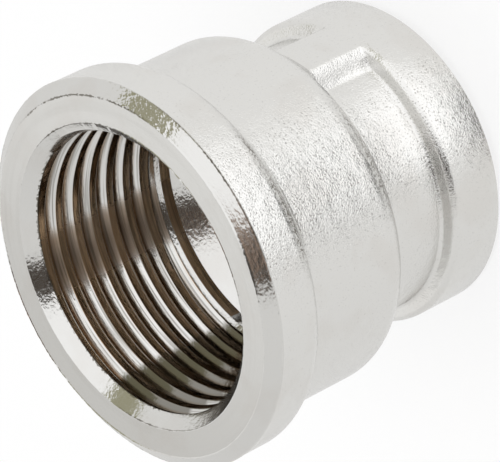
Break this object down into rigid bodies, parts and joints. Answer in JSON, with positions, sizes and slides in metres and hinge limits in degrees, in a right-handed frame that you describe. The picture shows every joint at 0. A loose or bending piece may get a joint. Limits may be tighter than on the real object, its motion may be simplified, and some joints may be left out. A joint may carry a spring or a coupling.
{
  "type": "reducing pipe coupling",
  "caption": "Straight reducing coupling with internal parallel pipe threads, joining a larger threaded pipe end to a smaller one on the same axis.",
  "frame": {"origin": "centre of the small end's flat face, on the axis of both bores, which is the middle of the underside as the coupling stands on its small end", "axes": "+Z along the bores' common axis towards the large end; X through the two ribs of the neck, in the forging's parting plane; Y across it"},
  "size_m": [0.0416, 0.0416, 0.0364],
  "materials": {
    "nickel_plated_brass": "nickel-plated; grit-blasted forged outside, bright turned ends, bores and threads"
  },
  "bodies": {
    "root": {"coupling_body": "nickel_plated_brass"}
  },
  "joints": []
}
